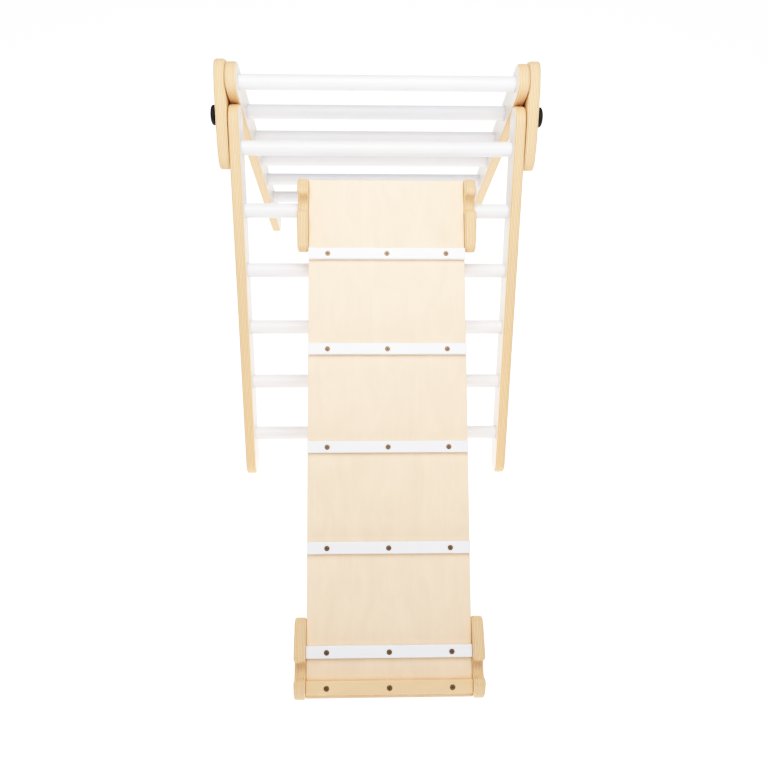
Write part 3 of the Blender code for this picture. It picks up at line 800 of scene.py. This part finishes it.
def build_board():
    top_u, low_u = BOARD_SHORT - TOE_LENGTH, NOTCH_DISTANCE + TOE_LENGTH - BOARD_SHORT
    length, middle = low_u - top_u, (low_u + top_u) / 2
    half = BOARD_THICK / 2
    outline = rounded_rectangle(length / 2, half, (BOARD_EASE,) * 4)
    mesh = rounded_plate("board", outline, 2 * BOARD_HALF, 0.0012, 4)
    hole = bar(SCREW_RADIUS + FIT, half - SCREW_IN_BOARD - 2 * FIT, half + OVERCUT, 16)
    cutters = [(hole, shift(x, y + middle)) for screws in SCREWS.values() for _, x, y in screws]
    mesh = settled(mesh, cutters)
    piece("ramp_board", mesh, BOARD_PLY, RAMP @ shift(0.0, -middle, BOARD_MIDDLE))


def cross_recess():
    """The cutters for a cross recess in a screw's head: two blades that narrow downwards."""
    work = bmesh.new()
    bmesh.ops.create_cube(work, size=1.0)
    bmesh.ops.scale(work, vec=(SCREW_HEAD_RADIUS * 1.15, 0.00085, 0.0026), verts=work.verts)
    for vert in work.verts:
        if vert.co.z < 0:
            vert.co.x *= 0.30
            vert.co.y *= 0.75
    blade = finished(work, "blade")
    return [(blade, shift(z=-0.0007) @ Matrix.Rotation(a, 4, "Z")) for a in (0.0, math.pi / 2)]


def build_screw(node, x, y, thick, turn):
    """A countersunk screw with a cross recess, its head's top at z = 0."""
    r, h = SCREW_HEAD_RADIUS, SCREW_HEAD_HEIGHT
    bottom = -thick - SCREW_IN_BOARD
    profile = [(0.0, -0.00012), (r * 0.7, -0.00016), (r - 0.0004, -0.0002), (r - 0.00008, -0.0003),
               (r, -0.0005), (SCREW_RADIUS, -h)]
    z = -h - 0.0008
    while z - SCREW_PITCH > bottom + 0.003:
        profile += [(SCREW_RADIUS - 0.0005, z), (SCREW_RADIUS - 0.0004, z - 0.0005),
                    (SCREW_RADIUS, z - 0.0008)]
        z -= SCREW_PITCH
    profile += [(SCREW_RADIUS - 0.0003, bottom + 0.0022), (0.0, bottom)]
    mesh = settled(lathe(node, profile, 32), cross_recess(), sharp=30)
    n = BOARD_MIDDLE + BOARD_THICK / 2 + FIT + thick
    piece(node, mesh, BRONZE, RAMP @ shift(x, y, n) @ Matrix.Rotation(turn, 4, "Z"))


def build_ramp():
    for side, word in ((-1, "left"), (1, "right")):
        build_hook(f"upper_hook_{word}", side, 0.0, 1)
        build_hook(f"lower_hook_{word}", side, NOTCH_DISTANCE, -1)
    build_board()
    for i in range(1, 6):
        build_cross_bar(f"batten_{i}", BATTEN_WIDTH, BATTEN_THICK, BATTEN_CORNERS, WHITE_BATTEN)
    build_cross_bar("end_bar", END_BAR_WIDTH, END_BAR_THICK, END_BAR_CORNERS, BAR_WOOD)
    count = 0
    for holder, screws in sorted(SCREWS.items()):
        thick = END_BAR_THICK if holder == "end_bar" else BATTEN_THICK
        for node, x, y in sorted(screws):
            build_screw(node, x, y, thick, 0.7 * count)
            count += 1


# ---------------------------------------------------------------- stage, light and camera

FLOOR_HALF = 60.0
FLOOR_GLOW = 0.72
WORLD_STRENGTH = 0.44
WHITE_LEVEL = 1.22           # the radiance that is shown as pure white
TONE_RATE = 2.7
TONE_TOP = 1.038
TONE_POINTS = 16
CAMERA_FROM_APEX = Vector((-0.0322, -1.3864, 0.8145))
CAMERA_DOWN = math.radians(50.9)
CAMERA_YAW = math.radians(2.59)
CAMERA_ROLL = math.radians(1.89)
CAMERA_LENS = 37.75
SENSOR_WIDTH = 36.0


def build_stage():
    work = bmesh.new()
    bmesh.ops.create_grid(work, x_segments=1, y_segments=1, size=FLOOR_HALF)
    mesh = finished(work, "floor")
    s = Shade("pale_floor")
    where = s.coordinates().outputs["Object"]
    soft = s.noise(s.scaled(where, 1.2), detail=2.0)
    colour = s.mixed(soft, (0.93, 0.93, 0.93), (0.95, 0.95, 0.95))
    material = s.done(Base_Color=colour, Roughness=0.9, Emission_Color=(1.0, 1.0, 1.0),
                      Emission_Strength=FLOOR_GLOW)
    mesh.materials.append(material)
    linked("floor", mesh)

    world = bpy.data.worlds.new("studio")
    bpy.context.scene.world = world
    world.use_nodes = True
    background = world.node_tree.nodes["Background"]
    background.inputs["Color"].default_value = (1.0, 1.0, 1.0, 1.0)
    background.inputs["Strength"].default_value = WORLD_STRENGTH


def add_area(name, location, target, size, power):
    light = bpy.data.lights.new(name, "AREA")
    light.shape = "DISK"
    light.size = size
    light.energy = power
    obj = linked(name, light)
    obj.location = location
    obj.rotation_euler = (Vector(target) - Vector(location)).to_track_quat("-Z", "Y").to_euler()


def set_tone():
    """A soft shoulder, like a camera's: radiance WHITE_LEVEL and above is pure white."""
    view = bpy.context.scene.view_settings
    view.view_transform = "Standard"
    view.use_curve_mapping = True
    mapping = view.curve_mapping
    mapping.white_level = (WHITE_LEVEL, WHITE_LEVEL, WHITE_LEVEL)
    curve = mapping.curves[3]
    for i in range(1, TONE_POINTS):
        share = (i / TONE_POINTS) ** 1.5
        display = TONE_TOP * (1 - math.exp(-TONE_RATE * WHITE_LEVEL * share))
        # The curve works before the sRGB encoding, so the displayed value is decoded
        linear = display / 12.92 if display < 0.04045 else ((display + 0.055) / 1.055) ** 2.4
        curve.points.new(share, linear)
    mapping.update()


def build_camera():
    forward = Vector((math.sin(CAMERA_YAW) * math.cos(CAMERA_DOWN),
                      math.cos(CAMERA_YAW) * math.cos(CAMERA_DOWN),
                      -math.sin(CAMERA_DOWN)))
    level = Vector((math.cos(CAMERA_YAW), -math.sin(CAMERA_YAW), 0.0))
    upright = level.cross(forward)
    right = level * math.cos(CAMERA_ROLL) + upright * math.sin(CAMERA_ROLL)
    up = upright * math.cos(CAMERA_ROLL) - level * math.sin(CAMERA_ROLL)
    back = -forward
    at = APEX + CAMERA_FROM_APEX
    data = bpy.data.cameras.new("camera")
    data.lens = CAMERA_LENS
    data.sensor_width = SENSOR_WIDTH
    camera = linked("camera", data)
    camera.matrix_world = Matrix(((right.x, up.x, back.x, at.x),
                                  (right.y, up.y, back.y, at.y),
                                  (right.z, up.z, back.z, at.z),
                                  (0.0, 0.0, 0.0, 1.0)))
    bpy.context.scene.camera = camera


build_ladders()
build_hinge()
build_ramp()
build_stage()
add_area("overhead", (0.0, -0.38, 1.8), target=(0.0, -0.38, 0.0), size=1.3, power=15.5)
add_area("front_fill", (0.6, -2.6, 2.2), target=(0.0, -0.2, 0.3), size=2.0, power=8.0)
build_camera()
set_tone()
